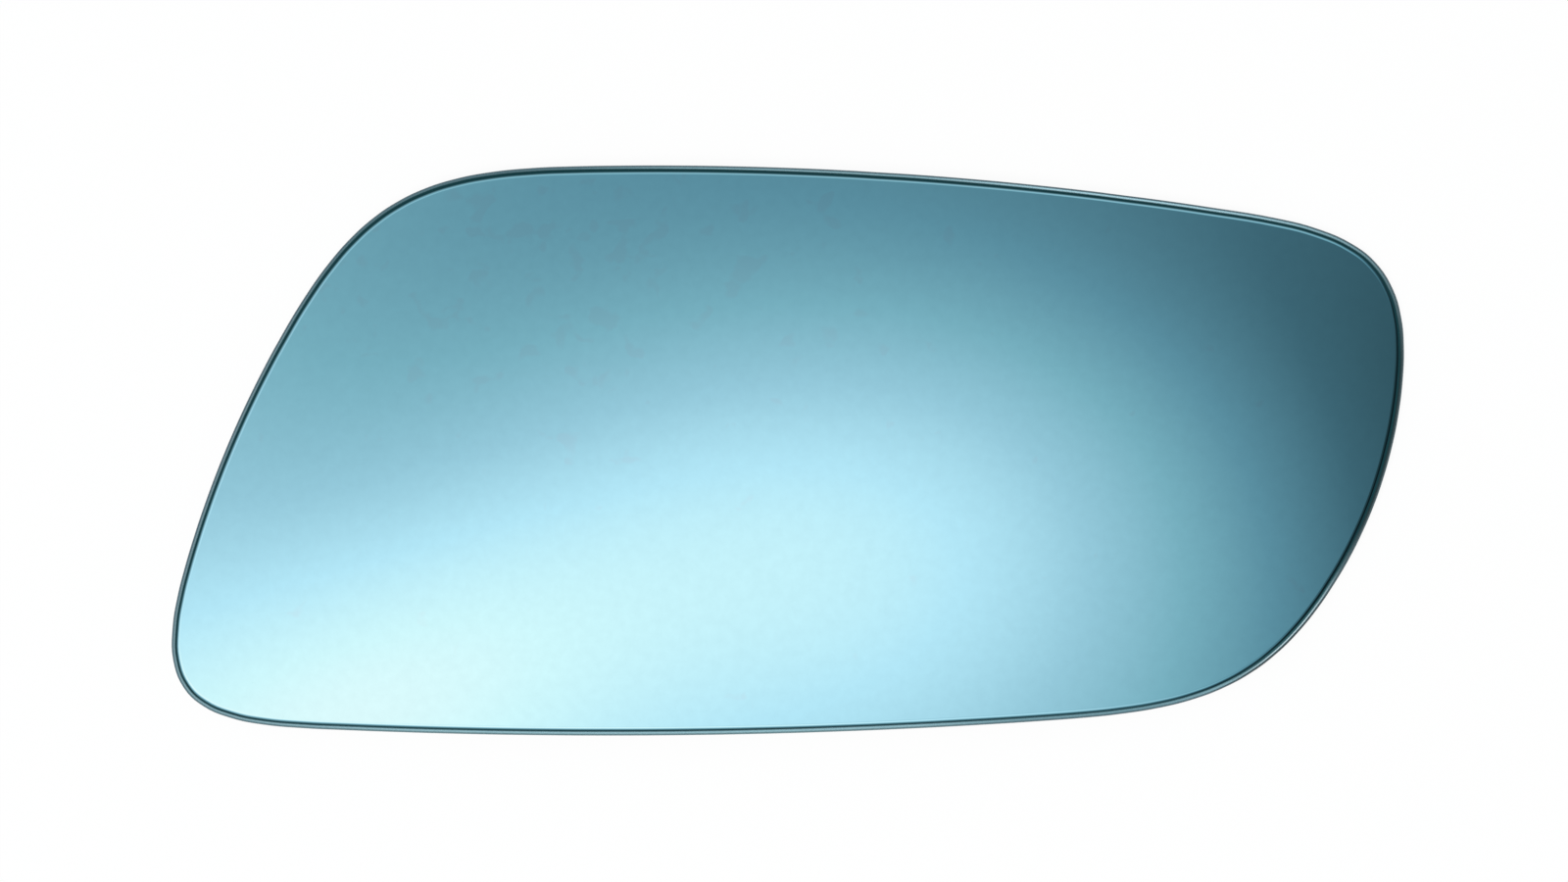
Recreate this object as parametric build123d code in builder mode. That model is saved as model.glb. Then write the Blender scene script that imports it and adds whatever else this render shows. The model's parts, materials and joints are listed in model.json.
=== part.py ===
from build123d import *
import os

# Convex door mirror glass: one sheet, cut to its outline, bent to a sphere and ground round at the rim.
# It lies on its rim with the mirror face up: X runs along the wide way, Y up the face and Z out of it.
# All sizes are in millimetres.

# Sheet
thickness = 2.0
mirror_radius = 1400.0  # convex mirror face; the back is bent about the same centre

# Ground rim, from the back to the face
back_arris = 0.4  # broken edge at the back
rim_land = 0.2  # straight stretch that stays at the widest place
face_round = thickness - back_arris - rim_land  # the rest is rounded over to the face

# Corners of the outline, where the crowned sides would cross, going out from the lower left one
bottom_run = 164.3
bottom_rise = 2.0
left_run = 37.1
left_rise = 84.0
top_run = 153.9
top_fall = 10.0

# How far each side bows out of the straight line between its corners
bottom_crown = 3.4
right_crown = 11.6
top_crown = 5.2
left_crown = 6.7

# Corners: how far along both sides each one begins, and how full it is drawn (1 is nearly square)
lower_left_reach = 23.5
lower_right_reach = 27.9
upper_right_reach = 21.6
upper_left_reach = 27.4
corner_fullness = 0.81

# The block that the sheet is cut from reaches this far past the bent faces
blank_margin = 5.0


def crowned_side(start, end, crown, start_reach, end_reach):
    """Add one side that bows outwards, kept only between the places where its corners begin."""
    arc = SagittaArc(start, end, -crown, mode=Mode.PRIVATE)
    side = arc.trim(start_reach / arc.length, 1 - end_reach / arc.length)
    add(side)
    return side


def graded_corner(before, after, reach):
    """Add one corner that leaves both sides along their own directions and tightens towards its middle."""
    pull = reach * corner_fullness
    Bezier(before @ 1, before @ 1 + before % 1 * pull, after @ 0 - after % 0 * pull, after @ 0)


# Outline, counter-clockwise from the lower left corner
lower_left = Vector(0, 0)
lower_right = lower_left + Vector(bottom_run, bottom_rise)
upper_left = lower_left + Vector(left_run, left_rise)
upper_right = upper_left + Vector(top_run, -top_fall)

with BuildSketch() as outline:
    with BuildLine():
        bottom = crowned_side(lower_left, lower_right, bottom_crown, lower_left_reach, lower_right_reach)
        right = crowned_side(lower_right, upper_right, right_crown, lower_right_reach, upper_right_reach)
        top = crowned_side(upper_right, upper_left, top_crown, upper_right_reach, upper_left_reach)
        left = crowned_side(upper_left, lower_left, left_crown, upper_left_reach, lower_left_reach)
        graded_corner(bottom, right, lower_right_reach)
        graded_corner(right, top, upper_right_reach)
        graded_corner(top, left, upper_left_reach)
        graded_corner(left, bottom, lower_left_reach)
    make_face()

# Bent sheet: the outline's block between two spheres about one centre, below the middle of the outline
outline_box = outline.sketch.bounding_box()
middle = outline_box.center()
half_diagonal = outline_box.diagonal / 2
rim_drop = mirror_radius - (mirror_radius**2 - half_diagonal**2) ** 0.5
blank_depth = rim_drop + thickness + blank_margin
poles_aside = (90, 0, 0)  # turns a sphere so that its poles and seam lie outside the glass

with BuildPart() as ground_glass:
    with BuildSketch(Plane.XY.offset(-blank_depth)):
        add(outline.sketch)
    extrude(amount=blank_depth + blank_margin)
    with Locations((middle.X, middle.Y, -mirror_radius)):
        Sphere(mirror_radius, rotation=poles_aside, mode=Mode.INTERSECT)
        Sphere(mirror_radius - thickness, rotation=poles_aside, mode=Mode.SUBTRACT)
    mirror_face = ground_glass.faces().filter_by(GeomType.SPHERE).sort_by(Axis.Z)[-1]
    fillet(mirror_face.edges(), radius=face_round)
    back_face = ground_glass.faces().filter_by(GeomType.SPHERE).sort_by(Axis.Z)[0]
    fillet(back_face.edges(), radius=back_arris)

# Finished glass, standing on its rim over the middle of its box
glass_box = ground_glass.part.bounding_box()

with BuildPart() as mirror_glass:
    with Locations((-glass_box.center().X, -glass_box.center().Y, -glass_box.min.Z)):
        add(ground_glass.part)

mirror_glass.part.label = "mirror_glass"
os.makedirs("parts", exist_ok=True)
export_step(mirror_glass.part, "parts/mirror_glass.step")

print("outline", round(outline_box.size.X, 2), "x", round(outline_box.size.Y, 2))
print("glass", [round(length, 2) for length in mirror_glass.part.bounding_box().size])
print("volume", round(mirror_glass.part.volume, 1), "mm3")
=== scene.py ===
# %% [markdown]
# A car door mirror glass is one sheet of float glass. It is cut to its outline, its edge is ground round,
# it is bent to a slightly convex sphere, and a blue mirror coating is laid on its face. This lesson makes
# that sheet with a mesh that is smooth enough to reflect without a ripple, and lights it so that the face
# shows what such a mirror shows: a soft studio, dark at one end and bright at the other. The frame gives
# the solid that the sheet stands for, and its box gives the sheet's sizes.

# %% Load the frame
import bmesh
import bpy
import json
from math import cos, radians, sin, sqrt
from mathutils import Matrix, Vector
from mathutils.geometry import convex_hull_2d


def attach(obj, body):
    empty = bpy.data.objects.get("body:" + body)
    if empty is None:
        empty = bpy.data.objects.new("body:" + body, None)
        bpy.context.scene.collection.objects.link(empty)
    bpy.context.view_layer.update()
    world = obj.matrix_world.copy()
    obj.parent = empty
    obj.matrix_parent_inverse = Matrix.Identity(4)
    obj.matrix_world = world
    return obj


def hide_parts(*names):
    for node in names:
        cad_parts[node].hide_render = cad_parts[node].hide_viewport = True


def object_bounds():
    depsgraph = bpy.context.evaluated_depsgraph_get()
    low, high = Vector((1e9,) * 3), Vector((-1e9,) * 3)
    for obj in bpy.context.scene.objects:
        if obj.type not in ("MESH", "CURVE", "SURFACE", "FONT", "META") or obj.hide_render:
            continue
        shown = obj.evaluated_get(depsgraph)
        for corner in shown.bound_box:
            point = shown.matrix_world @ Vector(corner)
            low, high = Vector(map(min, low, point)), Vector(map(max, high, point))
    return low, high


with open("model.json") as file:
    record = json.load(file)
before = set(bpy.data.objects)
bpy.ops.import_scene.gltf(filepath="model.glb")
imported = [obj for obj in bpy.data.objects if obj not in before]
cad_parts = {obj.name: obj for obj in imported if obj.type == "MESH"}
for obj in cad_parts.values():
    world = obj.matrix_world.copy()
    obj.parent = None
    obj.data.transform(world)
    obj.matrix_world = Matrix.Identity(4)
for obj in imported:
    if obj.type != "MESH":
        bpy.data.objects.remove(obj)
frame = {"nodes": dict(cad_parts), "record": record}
cad_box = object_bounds()
millimetre = 0.001

cad_glass = frame["nodes"]["mirror_glass"].data
print("frame holds", list(frame["nodes"]), "with", len(cad_glass.vertices), "vertices")

# %% [markdown]
# The outline could be drawn again point by point, but the solid already has it. Seen from above it bulges
# outwards all the way round, so the convex hull of its points, flattened, is the outline. The solid's
# points lie unevenly along it, so only those a few millimetres apart are kept, and a Bezier curve with
# automatic handles runs through them. A curve stays smooth between its points, where the solid has short
# straight edges.

# %% Outline curve
knot_spacing = 4 * millimetre
steps_between_knots = 5

plan = [vertex.co.xy for vertex in cad_glass.vertices]
border = [plan[index] for index in convex_hull_2d(plan)]
knots = border[:1]
for point in border:
    if min((point - knots[-1]).length, (point - knots[0]).length) > knot_spacing:
        knots.append(point)

outline = bpy.data.curves.new("glass_outline", "CURVE")
outline.dimensions = "2D"
outline.fill_mode = "NONE"
outline.resolution_u = steps_between_knots
spline = outline.splines.new("BEZIER")
spline.bezier_points.add(len(knots) - 1)
spline.use_cyclic_u = True
for bezier_point, knot in zip(spline.bezier_points, knots):
    bezier_point.co = (knot.x, knot.y, 0)
    bezier_point.handle_left_type = "AUTO"
    bezier_point.handle_right_type = "AUTO"

outline_object = bpy.data.objects.new("glass_outline", outline)
outline_mesh = bpy.data.meshes.new_from_object(outline_object)
bpy.data.objects.remove(outline_object)
bpy.data.curves.remove(outline)
print("outline runs through", len(knots), "knots and has", len(outline_mesh.vertices), "points")

# %% [markdown]
# The sheet starts flat, as the real one does. The record's mount is the middle of the back, where the
# glass is bonded to its holder, so the thickness is what the box has above it. The outline is filled with
# one face and extruded by the straight land that stays in the middle of the ground edge. That leaves a
# cap on each side, and the rest of the thickness is rounded on from there.

# %% Flat sheet
bond_face = frame["record"]["mounts"][0]
thickness = cad_box[1][2] - bond_face["pos_m"][2]
back_arris = 0.4 * millimetre
rim_land = 0.2 * millimetre
face_round = thickness - back_arris - rim_land

glass = bmesh.new()
glass.from_mesh(outline_mesh)
bpy.data.meshes.remove(outline_mesh)
bmesh.ops.translate(glass, verts=glass.verts, vec=(0, 0, back_arris))
bmesh.ops.contextual_create(glass, geom=glass.edges[:])
extruded = bmesh.ops.extrude_face_region(glass, geom=glass.faces[:], use_keep_orig=True)["geom"]
land_top = [item for item in extruded if isinstance(item, bmesh.types.BMVert)]
bmesh.ops.translate(glass, verts=land_top, vec=(0, 0, rim_land))
bmesh.ops.recalc_face_normals(glass, faces=glass.faces)
face_cap = max(glass.faces, key=lambda face: face.normal.z)
back_cap = min(glass.faces, key=lambda face: face.normal.z)
print("sheet will be", round(thickness / millimetre, 2), "mm thick, and is a bare land so far")

# %% [markdown]
# A bevel would round the edge too, but it keeps no note of where on the round a point lies. So both caps
# are inset again and again, each time a little further in and a little further out, and the steps follow
# a quarter circle. An attribute keeps how many degrees each point of the front round leans, from 90 at
# the land to 0 on the face, because the finish of the edge follows that lean. Each face also gets the
# number of its material: the mirror coating covers the face and the flattest ring around it.

# %% Round the edge
MIRROR, EDGE, BACK = range(3)
land_lean = 90
face_step = 5
back_step = 15

lean_layer = glass.verts.layers.float.new("lean")
for vertex in glass.verts:
    vertex[lean_layer] = land_lean


def round_over(cap, radius, step):
    """Inset a cap along a quarter circle, a few degrees at a time, and return the last ring of faces."""
    leans = range(land_lean, -1, -step)
    for lean_before, lean_after in zip(leans, leans[1:]):
        inset = bmesh.ops.inset_individual(
            glass,
            faces=[cap],
            thickness=radius * (sin(radians(lean_before)) - sin(radians(lean_after))),
            depth=radius * (cos(radians(lean_after)) - cos(radians(lean_before))),
            use_even_offset=True,
        )
        # The back keeps the lean of the land, because its round has the land's finish all over.
        if cap is face_cap:
            for vertex in cap.verts:
                vertex[lean_layer] = lean_after
    return inset["faces"]


flattest_ring = round_over(face_cap, face_round, face_step)
round_over(back_cap, back_arris, back_step)
for face in glass.faces:
    face.material_index = EDGE
for face in [face_cap, *flattest_ring]:
    face.material_index = MIRROR
back_cap.material_index = BACK
print("edge is rounded over", round(face_round / millimetre, 2), "mm in", land_lean // face_step, "steps")

# %% [markdown]
# A flat face has nothing to bend, so planes a centimetre apart cut it into cells first. Then every point
# moves down to a sphere. All layers of the sheet lie on spheres about one centre, as they do when hot
# glass sags over a mould, so a point's depth below the face only makes its own sphere smaller.

# %% Bend to a sphere
mirror_radius = 1400 * millimetre
cell_size = 10 * millimetre
# A plane that passes this near to a point goes through it, so that no sliver is cut off beside it.
snap_distance = 0.3 * millimetre
# Points of one level differ by less than this.
level_margin = 0.001 * millimetre

for axis in (0, 1):
    cells = int(cad_box[1][axis] / cell_size)
    for count in range(-cells, cells + 1):
        plane_point = Vector((0, 0, 0))
        plane_point[axis] = count * cell_size
        plane_normal = Vector((0, 0, 0))
        plane_normal[axis] = 1
        bmesh.ops.bisect_plane(
            glass,
            geom=glass.verts[:] + glass.edges[:] + glass.faces[:],
            dist=snap_distance,
            plane_co=plane_point,
            plane_no=plane_normal,
        )

top = cad_box[1][2]
face_points = [vertex for vertex in glass.verts if vertex.co.z > thickness - level_margin]
back_points = [vertex for vertex in glass.verts if vertex.co.z < level_margin]
for vertex in glass.verts:
    layer_radius = mirror_radius - (thickness - vertex.co.z)
    vertex.co.z = sqrt(layer_radius**2 - vertex.co.xy.length_squared) - mirror_radius + top
bmesh.ops.recalc_face_normals(glass, faces=glass.faces)
lowest = min(vertex.co.z for vertex in glass.verts)
print("sheet has", len(glass.faces), "faces, and its rim rests at", round(lowest / millimetre, 3), "mm")

# %% [markdown]
# A mirror shows every wrong normal. Averages of the faces around a point are wrong near the edge, where
# the cells are cut short, so the points of both faces get the normal of their sphere, which points
# straight away from its centre. Between points the renderer blends the normals, and on a sphere that
# blend is as good as exact. The points of the ground edge get no normal of their own and stay as the
# smooth shading makes them.

# %% Finished mesh with true normals
glass.verts.index_update()
sphere_centre = Vector((0, 0, top - mirror_radius))
normals = [Vector((0, 0, 0)) for vertex in glass.verts]
for vertex in face_points:
    normals[vertex.index] = (vertex.co - sphere_centre).normalized()
for vertex in back_points:
    normals[vertex.index] = (sphere_centre - vertex.co).normalized()
for face in glass.faces:
    face.smooth = True

mesh = bpy.data.meshes.new("bent_mirror_glass")
glass.to_mesh(mesh)
glass.free()
mesh.normals_split_custom_set_from_vertices(normals)
bent_glass = bpy.data.objects.new("bent_mirror_glass", mesh)
bpy.context.scene.collection.objects.link(bent_glass)
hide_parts("mirror_glass")
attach(bent_glass, "root")
print("bent_mirror_glass has", len(mesh.vertices), "vertices and", len(mesh.polygons), "faces")

# %% [markdown]
# Three helpers serve all the finishes. Colours are written as the sRGB hex values that a colour picker
# shows, and the first function turns them into the linear light that shaders add up. The second adds a
# node: its settings come as keywords, and each input is given a value or the output that feeds it. The
# third starts a material. A Mix node has its two inputs and its result once for each kind of value, all
# with the same names, so those for colours go by their numbers.

# %% Helpers for materials
COLOUR_A, COLOUR_B = 6, 7
MIXED_COLOUR = 2


def linear(hex_colour):
    """Turn #RRGGBB in sRGB into linear red, green, blue and alpha."""
    channels = [int(hex_colour[start : start + 2], 16) / 255 for start in (1, 3, 5)]
    return [c / 12.92 if c <= 0.04045 else ((c + 0.055) / 1.055) ** 2.4 for c in channels] + [1.0]


def add_node(tree, kind, inputs=None, **settings):
    """Add a node to a tree, set it up, and give each named input its value or its link."""
    node = tree.nodes.new(kind)
    for name, value in settings.items():
        setattr(node, name, value)
    for name, value in (inputs or {}).items():
        if isinstance(value, bpy.types.NodeSocket):
            tree.links.new(value, node.inputs[name])
        else:
            node.inputs[name].default_value = value
    return node


def new_material(name):
    """Start a material from an empty tree and return it with its tree."""
    material = bpy.data.materials.new(name)
    material.use_nodes = True
    material.node_tree.nodes.clear()
    return material, material.node_tree


print("white is", linear("#FFFFFF"), "and middle grey is", [round(c, 3) for c in linear("#808080")])

# %% [markdown]
# The blue of such a mirror is a thin layer of metal and oxide, vacuum coated on glass, and in use it is
# never quite clean. A fine noise stands for a breath of dust. Dried drops leave marks of a few
# millimetres, and they are the places where a coarser noise passes a threshold. The marks gather along
# the top, so a soft oval there lifts the noise over its threshold more often than elsewhere.

# %% Dust and drop marks on the coating
mirror_coat, tree = new_material("chrome_blue_vacuum_coated_glass")
dust_size = 1.6 * millimetre
mark_size = 4.5 * millimetre
marks_middle = (-33 * millimetre, 32 * millimetre, 0)
marks_reach = (95 * millimetre, 44 * millimetre, 44 * millimetre)
# Levels of the noise, from 0 to 1: how far the oval lifts it, and where a mark begins and is full.
marks_lift = 0.18
mark_begins = 0.70
mark_full = 0.79

on_face = add_node(tree, "ShaderNodeTexCoord").outputs["Object"]
dust = add_node(tree, "ShaderNodeTexNoise", {"Vector": on_face, "Scale": 1 / dust_size, "Detail": 2.0})
drops = add_node(
    tree,
    "ShaderNodeTexNoise",
    {"Vector": on_face, "Scale": 1 / mark_size, "Detail": 2.0, "Distortion": 0.3},
)
from_middle = add_node(
    tree,
    "ShaderNodeMapping",
    {"Vector": on_face, "Location": marks_middle, "Scale": marks_reach},
    vector_type="TEXTURE",
)
along_top = add_node(
    tree, "ShaderNodeTexGradient", {"Vector": from_middle.outputs[0]}, gradient_type="SPHERICAL"
)
lifted = add_node(
    tree,
    "ShaderNodeMath",
    {0: along_top.outputs["Fac"], 1: marks_lift, 2: drops.outputs["Fac"]},
    operation="MULTIPLY_ADD",
)
marked = add_node(
    tree,
    "ShaderNodeMapRange",
    {"Value": lifted.outputs[0], "From Min": mark_begins, "From Max": mark_full},
    interpolation_type="SMOOTHSTEP",
)
print("coating has dust of", dust_size / millimetre, "mm and drop marks of", mark_size / millimetre, "mm")

# %% [markdown]
# The coating reflects blue and green well and red poorly, and it is as smooth as the glass, so nearly all
# that is seen in it is the room. A metallic shader with a pale blue base does that. Dust shifts the blue
# by a step or two, and a mark takes some green and blue away, which leaves it a little greyer. Both are
# so slight that they only take the clean look off.

# %% Blue mirror coating
dusty = add_node(
    tree,
    "ShaderNodeMix",
    {"Factor": dust.outputs["Fac"], COLOUR_A: linear("#A3D9EB"), COLOUR_B: linear("#A9E1F3")},
    data_type="RGBA",
)
tint = add_node(
    tree,
    "ShaderNodeMix",
    {
        "Factor": marked.outputs["Result"],
        COLOUR_A: dusty.outputs[MIXED_COLOUR],
        COLOUR_B: linear("#A7D8EA"),
    },
    data_type="RGBA",
)
# Metal coated on polished glass gives the eye a sharp reflection, tinted blue, and no colour of its own.
coating = add_node(
    tree,
    "ShaderNodeBsdfPrincipled",
    {"Base Color": tint.outputs[MIXED_COLOUR], "Metallic": 1.0, "Roughness": 0.02},
)
add_node(tree, "ShaderNodeOutputMaterial", {"Surface": coating.outputs["BSDF"]})
mesh.materials.append(mirror_coat)
print("material:", mirror_coat.name)

# %% [markdown]
# The edge is bare float glass, ground on a wheel. The wheel's grit leaves pits of about a tenth of a
# millimetre, too fine for this picture, so they are drawn three times as coarse. The light and shade on
# the edge differ from one stretch to the next, and they are painted into its colour. Each such stretch is
# a soft ball around a place on the edge, and it mixes a painted lighter or darker colour of its own in.

# %% Painted light and shade along the edge
edge_glass, tree = new_material("float_glass_ground_and_polished")
grit_size = 0.3 * millimetre
# A ball's gradient rises from 0 at its reach to 1 in its middle. Between these values its stretch fades in.
ball_fade = (0.15, 0.75)

on_edge = add_node(tree, "ShaderNodeTexCoord").outputs["Object"]
grit = add_node(
    tree, "ShaderNodeTexNoise", {"Vector": on_edge, "Scale": 1 / grit_size, "Detail": 2.0}
).outputs["Fac"]


def soft_ball(centre, reach):
    """Return a share that is 1 around a centre and eases to 0 near its reach. Both are in millimetres."""
    from_centre = add_node(
        tree,
        "ShaderNodeMapping",
        {
            "Vector": on_edge,
            "Location": (centre[0] * millimetre, centre[1] * millimetre, 0),
            "Scale": (reach * millimetre, reach * millimetre, reach * millimetre),
        },
        vector_type="TEXTURE",
    )
    ball = add_node(
        tree, "ShaderNodeTexGradient", {"Vector": from_centre.outputs[0]}, gradient_type="SPHERICAL"
    )
    return add_node(
        tree,
        "ShaderNodeMapRange",
        {"Value": ball.outputs["Fac"], "From Min": ball_fade[0], "From Max": ball_fade[1]},
        interpolation_type="SMOOTHSTEP",
    ).outputs["Result"]


def painted_light_and_shade(colour, stretches):
    """Mix painted light and shade of some stretches of the edge into its main colour."""
    for name, (centre, reach, own_colour) in stretches.items():
        colour = add_node(
            tree,
            "ShaderNodeMix",
            {"Factor": soft_ball(centre, reach), COLOUR_A: colour, COLOUR_B: linear(own_colour)},
            data_type="RGBA",
            label=name,
        ).outputs[MIXED_COLOUR]
    return colour


print("edge has a grit of", grit_size / millimetre, "mm")

# %% [markdown]
# Ground glass is satin. It scatters light, so it is a grey blue with tiny pits. The land at the widest
# place is darker, by painted shade. The ground part has painted shade at the right end and, less, at the
# left and the lower right, and a painted highlight along the upper right, and the land has painted light
# along the bottom. A stretch has its place and its reach in millimetres, and its colour.

# %% Ground part and land
# Painted light and shade of the ground part: darker at the right end, a painted highlight along the upper
# right.
ground_light_and_shade = {
    "right end": ((99, 0), 50, "#22373B"),
    "upper left corner": ((-58, 38), 60, "#5A7A83"),
    "left side": ((-92, -8), 60, "#748F97"),
    "upper right": ((52, 41), 45, "#BBE2EF"),
    "bottom right": ((46, -41), 36, "#7398A3"),
    "lower right": ((77, -30), 16, "#48676F"),
}
land_light_and_shade = {
    "bottom": ((-25, -44), 95, "#628289"),
    "left side": ((-92, 10), 60, "#415B66"),
    "right end": ((99, 0), 50, "#41595F"),
    "lower right": ((77, -30), 20, "#25393E"),
}

ground_grit = add_node(
    tree,
    "ShaderNodeMix",
    {"Factor": grit, COLOUR_A: linear("#8CB2BC"), COLOUR_B: linear("#9AC0CB")},
    data_type="RGBA",
)
ground = painted_light_and_shade(ground_grit.outputs[MIXED_COLOUR], ground_light_and_shade)
# The land's two colours are darker by painted shade, the shade at the outermost edge.
land_grit = add_node(
    tree,
    "ShaderNodeMix",
    {"Factor": grit, COLOUR_A: linear("#3B5963"), COLOUR_B: linear("#4F6F7A")},
    data_type="RGBA",
)
land = painted_light_and_shade(land_grit.outputs[MIXED_COLOUR], land_light_and_shade)
print("ground part is uneven at", ", ".join(ground_light_and_shade), "and the land at", ", ".join(land_light_and_shade))

# %% [markdown]
# The finish changes along the round. From the face outwards the coating thins out, then the glass is
# polished, then ground, and the land comes last, each one easing into the next while the edge leans
# further. The coating ends a little sooner towards the top of the sheet, and the ground part reaches
# further in towards the lower right. So these two follow a lean of their own, shifted by some degrees for
# each metre that a point lies to the right and up the face. Each step of the finish names its lean, the
# two angles in degrees that it eases between, and its values there.

# %% Steps of the finish
# Degrees for each metre along X, Y and Z
lean_shifts = {
    "coat": (0, 80, 0),
    "ground": (30, -60, 0),
}
finish_steps = {
    "polished": ("coat", (7, 25), (0, 1)),
    "ground": ("ground", (30, 45), (0, 1)),
    # These two steps bound the painted glint along the lower right.
    "rubbed line begins": ("true", (34, 42), (0, 1)),
    "rubbed line ends": ("true", (43, 51), (1, 0)),
    "land": ("true", (46, 58), (0, 1)),
    "pits": ("true", (40, 75), (0.03, 0.4)),
    "metallic": ("coat", (20, 28), (1, 0)),
    "roughness": ("true", (24, 46), (0.05, 0.35)),
}

leans = {"true": add_node(tree, "ShaderNodeAttribute", attribute_name="lean").outputs["Fac"]}
for name, degrees_per_metre in lean_shifts.items():
    shift = add_node(
        tree, "ShaderNodeVectorMath", {0: on_edge, 1: degrees_per_metre}, operation="DOT_PRODUCT"
    )
    leans[name] = add_node(
        tree, "ShaderNodeMath", {0: leans["true"], 1: shift.outputs["Value"]}, operation="ADD"
    ).outputs[0]
eased = {}
for name, (lean_name, angles, values) in finish_steps.items():
    eased[name] = add_node(
        tree,
        "ShaderNodeMapRange",
        {
            "Value": leans[lean_name],
            "From Min": angles[0],
            "From Max": angles[1],
            "To Min": values[0],
            "To Max": values[1],
        },
        interpolation_type="SMOOTHSTEP",
        label=name,
    ).outputs["Result"]
print("edge has", len(finish_steps), "steps of finish:", ", ".join(finish_steps))

# %% [markdown]
# Looked into from above, the polished part is as dark as deep water, because light that enters clear
# glass leaves it far away. That dark is painted shade: a dark green blue gives the line without a
# see-through shader, and it is painted a little lighter towards the right. At the lower right a thin
# line just inside the land is a painted glint, almost white. All these colours lie over the blue of the
# coating, each with its own share. The edge stops being metallic only where it is already dark, because a
# bright blue that is matt would glow as a pale line around the mirror.

# %% Edge of ground and polished glass
coat_blue = "#A6DDEF"
# Painted shade: the dark that clear polished glass shows, laid in as a colour.
deep_glass_painted_shade = "#0C363C"
# A painted glint: a thin near-white line at the lower right of the edge.
painted_glint_white = "#CBE3EA"
glint_place = (78, -29)
glint_reach = 16
pit_depth = 0.02 * millimetre
# Painted light: the dark line is painted a little lighter towards the right.
polished_light_and_shade = {
    "right side": ((92, -15), 70, "#133F45"),
    "lower right": (glint_place, 24, "#2A585D"),
}

polished = painted_light_and_shade(linear(deep_glass_painted_shade), polished_light_and_shade)
glint_line = add_node(
    tree,
    "ShaderNodeMath",
    {0: eased["rubbed line begins"], 1: eased["rubbed line ends"]},
    operation="MULTIPLY",
)
glint = add_node(
    tree,
    "ShaderNodeMath",
    {0: glint_line.outputs[0], 1: soft_ball(glint_place, glint_reach)},
    operation="MULTIPLY",
)
shade = linear(coat_blue)
for share, colour in (
    (eased["polished"], polished),
    (eased["ground"], ground),
    (glint.outputs[0], linear(painted_glint_white)),
    (eased["land"], land),
):
    shade = add_node(
        tree, "ShaderNodeMix", {"Factor": share, COLOUR_A: shade, COLOUR_B: colour}, data_type="RGBA"
    ).outputs[MIXED_COLOUR]
pits = add_node(
    tree, "ShaderNodeBump", {"Height": grit, "Strength": eased["pits"], "Distance": pit_depth}
)
# Ground glass gives the eye a soft satin line, and polished glass a deep one. Pits break most of the gloss
# up, so the specular level is low.
edge = add_node(
    tree,
    "ShaderNodeBsdfPrincipled",
    {
        "Base Color": shade,
        "Metallic": eased["metallic"],
        "Roughness": eased["roughness"],
        "IOR": 1.52,
        "Specular IOR Level": 0.1,
        "Normal": pits.outputs["Normal"],
    },
)
add_node(tree, "ShaderNodeOutputMaterial", {"Surface": edge.outputs["BSDF"]})
mesh.materials.append(edge_glass)
print("material:", edge_glass.name)

# %% [markdown]
# The back is hidden when the sheet lies down. Such sheets are sprayed there with a dark grey lacquer,
# which has the slight orange peel of any sprayed film, about a millimetre from bump to bump.

# %% Sprayed back
back_lacquer, tree = new_material("grey_lacquer_sprayed")
peel_size = 1.2 * millimetre
peel_depth = 0.02 * millimetre

on_back = add_node(tree, "ShaderNodeTexCoord").outputs["Object"]
peel = add_node(tree, "ShaderNodeTexNoise", {"Vector": on_back, "Scale": 1 / peel_size, "Detail": 1.0})
film = add_node(
    tree,
    "ShaderNodeMix",
    {"Factor": peel.outputs["Fac"], COLOUR_A: linear("#464A4D"), COLOUR_B: linear("#52565A")},
    data_type="RGBA",
)
ripple = add_node(
    tree,
    "ShaderNodeBump",
    {"Height": peel.outputs["Fac"], "Strength": 0.3, "Distance": peel_depth},
)
# Sprayed lacquer gives the eye a dark even film, half matt, whose gloss is broken by the peel.
lacquer = add_node(
    tree,
    "ShaderNodeBsdfPrincipled",
    {"Base Color": film.outputs[MIXED_COLOUR], "Roughness": 0.45, "Normal": ripple.outputs["Normal"]},
)
add_node(tree, "ShaderNodeOutputMaterial", {"Surface": lacquer.outputs["BSDF"]})
mesh.materials.append(back_lacquer)
print("glass has the materials", [material.name for material in mesh.materials])

# %% [markdown]
# The floor is a plain white sheet. To the camera and to mirrors it shows mostly its own white, so that
# the picture's ground is clean, and the rest of it is a diffuse surface that takes the shadow of the
# glass.

# %% White floor
floor_size = 8.0
own_white = 0.93

floor_mesh = bpy.data.meshes.new("floor")
floor_shape = bmesh.new()
bmesh.ops.create_grid(floor_shape, x_segments=1, y_segments=1, size=floor_size / 2)
floor_shape.to_mesh(floor_mesh)
floor_shape.free()
floor = bpy.data.objects.new("floor", floor_mesh)
bpy.context.scene.collection.objects.link(floor)

floor_paper, tree = new_material("paper_white_matt")
ray = add_node(tree, "ShaderNodeLightPath").outputs
seen = ray["Is Camera Ray"]
for other_ray in ("Is Glossy Ray", "Is Transmission Ray"):
    seen = add_node(tree, "ShaderNodeMath", {0: seen, 1: ray[other_ray]}, operation="MAXIMUM").outputs[0]
white_share = add_node(tree, "ShaderNodeMath", {0: seen, 1: own_white}, operation="MULTIPLY")
# Matt paper gives the eye one even white, with no gloss.
paper = add_node(tree, "ShaderNodeBsdfDiffuse", {"Color": linear("#FAFAFA")})
white = add_node(tree, "ShaderNodeEmission", {"Color": linear("#FFFFFF"), "Strength": 1.0})
white_paper = add_node(
    tree,
    "ShaderNodeMixShader",
    {0: white_share.outputs[0], 1: paper.outputs[0], 2: white.outputs[0]},
)
add_node(tree, "ShaderNodeOutputMaterial", {"Surface": white_paper.outputs[0]})
floor_mesh.materials.append(floor_paper)
print("floor is", floor_size, "m wide")

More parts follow.
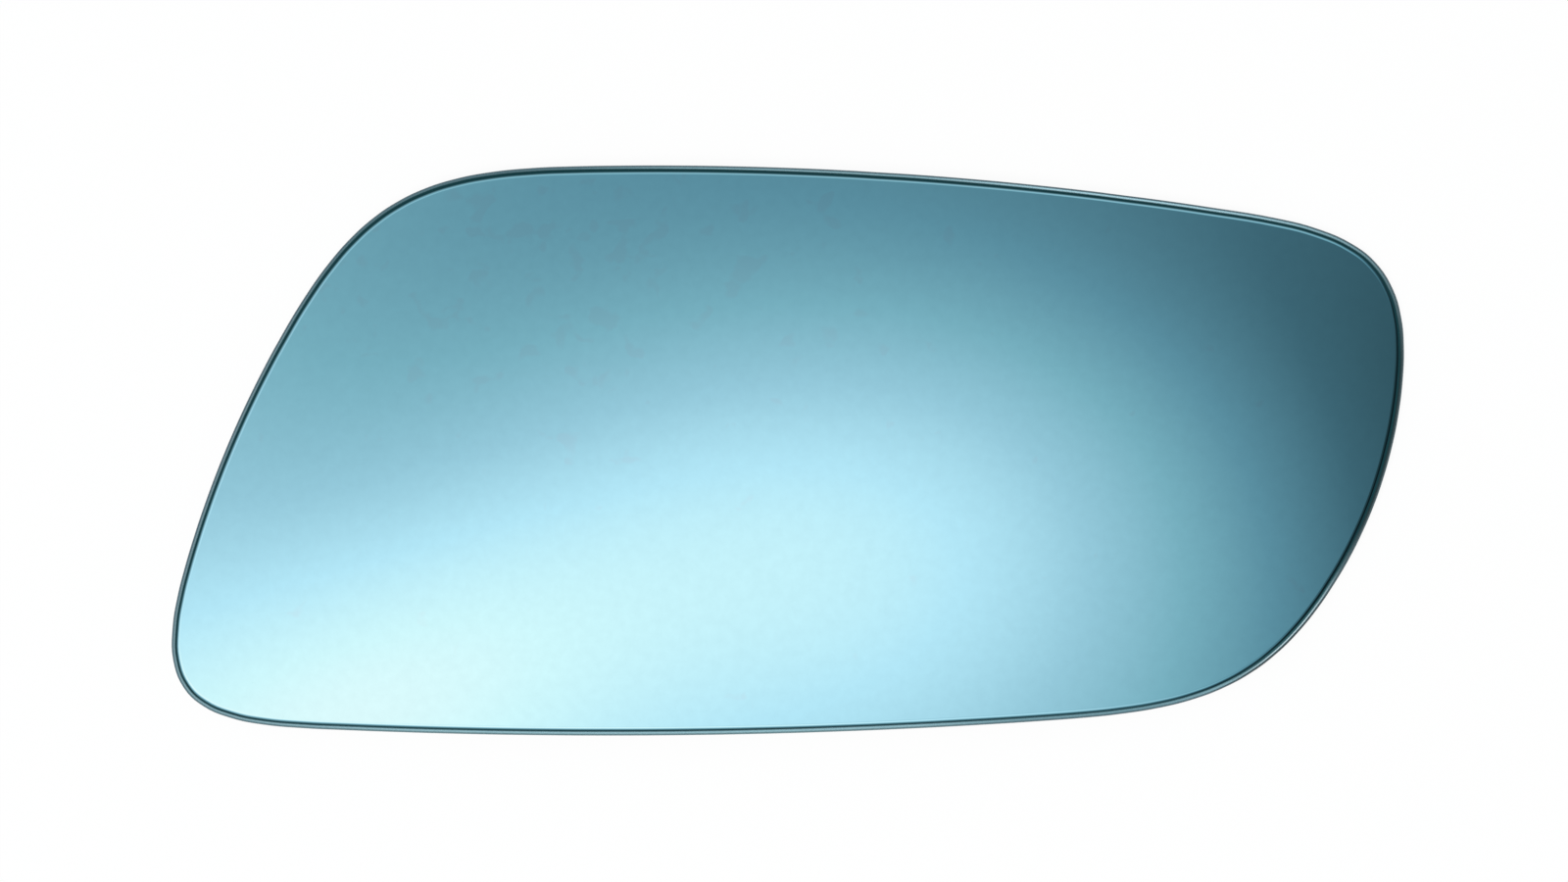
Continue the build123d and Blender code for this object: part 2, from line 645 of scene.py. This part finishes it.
# %% [markdown]
# What a mirror looks like is what it faces. A photographer would hang soft lamps and dark cloths over it,
# and here the world is that studio. Each direction in it is followed to the point where it meets an
# imaginary ceiling, so that lamps can be placed there in metres. The studio starts as an even grey
# overhead, which fades towards the horizon to the white that the camera sees all round.

# %% Ceiling of the studio
ceiling_height = 3.0
studio_grey = 0.50
horizon_white = 0.69
# Heights are those of directions, 0 on the horizon and 1 overhead. Below the first one the ceiling ends.
least_height = 0.1
fade_heights = (0.25, 0.8)

world = bpy.data.worlds.new("soft_studio")
bpy.context.scene.world = world
world.use_nodes = True
tree = world.node_tree
tree.nodes.clear()
direction = add_node(tree, "ShaderNodeTexCoord").outputs["Generated"]
direction_parts = add_node(tree, "ShaderNodeSeparateXYZ", {0: direction}).outputs
height = direction_parts["Z"]
raised = add_node(tree, "ShaderNodeMath", {0: height, 1: least_height}, operation="MAXIMUM")
distance = add_node(tree, "ShaderNodeMath", {0: ceiling_height, 1: raised.outputs[0]}, operation="DIVIDE")
ceiling = add_node(
    tree, "ShaderNodeVectorMath", {0: direction, "Scale": distance.outputs[0]}, operation="SCALE"
).outputs["Vector"]
level = add_node(
    tree,
    "ShaderNodeMapRange",
    {
        "Value": height,
        "From Min": fade_heights[0],
        "From Max": fade_heights[1],
        "To Min": horizon_white,
        "To Max": studio_grey,
    },
    interpolation_type="SMOOTHSTEP",
).outputs["Result"]
print("studio goes from", studio_grey, "overhead to", horizon_white, "at the horizon")

# %% [markdown]
# A mirror that is seen from low down faces the walls, and one even tone would make it look like paper. So
# soft panels stand all round the studio with gaps between them. They lean, so that from any side the near
# end of the mirror shows another tone than its far end. A sine that swings with the bearing and the height
# draws them. Its crests leave the level as it is, its troughs lower it, and higher up all panels fade out.

# %% Panels near the horizon
panel_count = 12
# How far the sine swings from the horizon to overhead, in radians
panel_slant = 18.0
gap_depth = 0.36
panel_heights = (0.50, 0.72)

bearing = add_node(
    tree, "ShaderNodeMath", {0: direction_parts["Y"], 1: direction_parts["X"]}, operation="ARCTAN2"
)
swing = add_node(tree, "ShaderNodeMath", {0: bearing.outputs[0], 1: panel_count}, operation="MULTIPLY")
leaning = add_node(
    tree, "ShaderNodeMath", {0: height, 1: panel_slant, 2: swing.outputs[0]}, operation="MULTIPLY_ADD"
)
panels = add_node(tree, "ShaderNodeMath", {0: leaning.outputs[0]}, operation="SINE")
gaps = add_node(
    tree,
    "ShaderNodeMapRange",
    {"Value": panels.outputs[0], "From Min": 1, "From Max": -1, "To Max": -gap_depth},
)
low_down = add_node(
    tree,
    "ShaderNodeMapRange",
    {"Value": height, "From Min": panel_heights[1], "From Max": panel_heights[0]},
    interpolation_type="SMOOTHSTEP",
)
level = add_node(
    tree,
    "ShaderNodeMath",
    {0: gaps.outputs["Result"], 1: low_down.outputs["Result"], 2: level},
    operation="MULTIPLY_ADD",
).outputs[0]
print("studio has", panel_count, "panels round its walls")

# %% [markdown]
# Every lamp and cloth is a soft oval on the ceiling, with a centre and a size in metres and a turn in
# degrees. It is strongest in its middle and falls off as a bell curve does, so it has no border that a
# mirror could show. A lamp adds its level to the grey, and a cloth takes some away.

# %% Lamps and cloths overhead
soft_ovals = {
    "dark cloth": {"centre": (0.17, -0.02), "size": (0.58, 0.31), "turn": -8, "level": -0.78},
    "far cloth": {"centre": (1.68, -1.05), "size": (1.34, 3.00), "turn": -5, "level": -0.44},
    "outer cloth": {"centre": (2.90, -0.60), "size": (1.10, 2.20), "turn": 0, "level": -0.20},
    "long front lamp": {"centre": (-0.66, -0.85), "size": (1.64, 0.86), "turn": -25, "level": 0.45},
    "side lamp": {"centre": (-0.33, -0.20), "size": (0.26, 0.14), "turn": 25, "level": 0.21},
    "middle lamp": {"centre": (0.12, -0.05), "size": (0.40, 0.25), "turn": -3, "level": 0.95},
    "back lamp": {"centre": (0.60, 1.25), "size": (0.65, 0.55), "turn": 0, "level": 0.18},
}

for name, oval in soft_ovals.items():
    on_oval = add_node(
        tree,
        "ShaderNodeMapping",
        {
            "Vector": ceiling,
            "Location": (*oval["centre"], ceiling_height),
            "Rotation": (0, 0, radians(oval["turn"])),
            "Scale": (*oval["size"], 1),
        },
        vector_type="TEXTURE",
        label=name,
    )
    off_centre = add_node(
        tree, "ShaderNodeVectorMath", {0: on_oval.outputs[0]}, operation="LENGTH"
    ).outputs["Value"]
    squared = add_node(tree, "ShaderNodeMath", {0: off_centre, 1: off_centre}, operation="MULTIPLY")
    minus = add_node(tree, "ShaderNodeMath", {0: squared.outputs[0], 1: -1.0}, operation="MULTIPLY")
    bell = add_node(tree, "ShaderNodeMath", {0: minus.outputs[0]}, operation="EXPONENT")
    level = add_node(
        tree, "ShaderNodeMath", {0: bell.outputs[0], 1: oval["level"], 2: level}, operation="MULTIPLY_ADD"
    ).outputs[0]
print("studio has", len(soft_ovals), "soft ovals:", ", ".join(soft_ovals))

# %% [markdown]
# So far the studio is only a level. A ramp turns it into the colour of light, cool where it is dark and
# warm where it is bright. The glass mirrors that light and the floor is lit by it, but the camera itself
# sees plain white past the floor.

# %% Light of the studio
studio_strength = 1.85
studio_ramp = {
    0.00: "#12191B",
    0.10: "#1E2828",
    0.24: "#47585D",
    0.35: "#697C81",
    0.46: "#8A999A",
    0.58: "#ADB0B1",
    0.70: "#D1CBC9",
    0.81: "#F1DACD",
    0.86: "#FFDCCD",
}

ramp = add_node(tree, "ShaderNodeValToRGB", {"Fac": level})
stops = ramp.color_ramp.elements
# A new ramp has two stops. The others start halfway, and then each stop gets its own place.
while len(stops) < len(studio_ramp):
    stops.new(0.5)
for stop, (position, colour) in zip(stops, studio_ramp.items()):
    stop.position = position
    stop.color = linear(colour)
studio = add_node(
    tree, "ShaderNodeBackground", {"Color": ramp.outputs["Color"], "Strength": studio_strength}
)
backdrop = add_node(tree, "ShaderNodeBackground", {"Color": linear("#FFFFFF"), "Strength": 1.0})
camera_ray = add_node(tree, "ShaderNodeLightPath").outputs["Is Camera Ray"]
surroundings = add_node(
    tree, "ShaderNodeMixShader", {0: camera_ray, 1: studio.outputs[0], 2: backdrop.outputs[0]}
)
add_node(tree, "ShaderNodeOutputWorld", {"Surface": surroundings.outputs[0]})
print("light of the studio has", len(stops), "steps from dark to bright")

# %% [markdown]
# One large soft lamp hangs nearly overhead. It brings the light on matt surfaces to a plain level and
# leaves only a breath of shadow. Mirrors don't see it, because the studio already has all that the face
# should show.

# %% Soft lamp
lamp_width = 1.6
lamp_watts = 33.0
lamp_place = Vector((-0.5, -0.5, 2.5))

lamp_data = bpy.data.lights.new("soft_lamp", "AREA")
lamp_data.shape = "DISK"
lamp_data.size = lamp_width
lamp_data.energy = lamp_watts
lamp = bpy.data.objects.new("soft_lamp", lamp_data)
lamp.location = lamp_place
lamp.rotation_euler = (-lamp_place).to_track_quat("-Z", "Y").to_euler()
lamp.visible_glossy = False
bpy.context.scene.collection.objects.link(lamp)
print("soft lamp hangs", round(lamp_place.length, 2), "m away")

# %% [markdown]
# The picture is taken square on, so the camera hangs straight above the sheet. How wide a view it needs
# follows from the pixels that the glass covers in the picture, and so does the small step aside, since
# the glass isn't quite in the middle. A long lens three metres above the rim keeps the view as flat as
# the picture's.

# %% Camera
frame_width_px = 1600
frame_height_px = 900
glass_left_px = 175.3
glass_right_px = 1432.6
glass_top_px = 168.6
glass_bottom_px = 750.8
camera_distance = 3.0
rim_height = 1 * millimetre

glass_width = cad_box[1][0] - cad_box[0][0]
metres_per_px = glass_width / (glass_right_px - glass_left_px)
aside_px = (glass_left_px + glass_right_px - frame_width_px) / 2
below_px = (glass_top_px + glass_bottom_px - frame_height_px) / 2

camera_data = bpy.data.cameras.new("camera")
camera_data.lens = camera_data.sensor_width * camera_distance / (frame_width_px * metres_per_px)
camera = bpy.data.objects.new("camera", camera_data)
camera.location = (-aside_px * metres_per_px, below_px * metres_per_px, camera_distance + rim_height)
bpy.context.scene.collection.objects.link(camera)
bpy.context.scene.camera = camera
bpy.context.scene.view_settings.view_transform = "Standard"
print("camera has a lens of", round(camera_data.lens, 1), "mm")
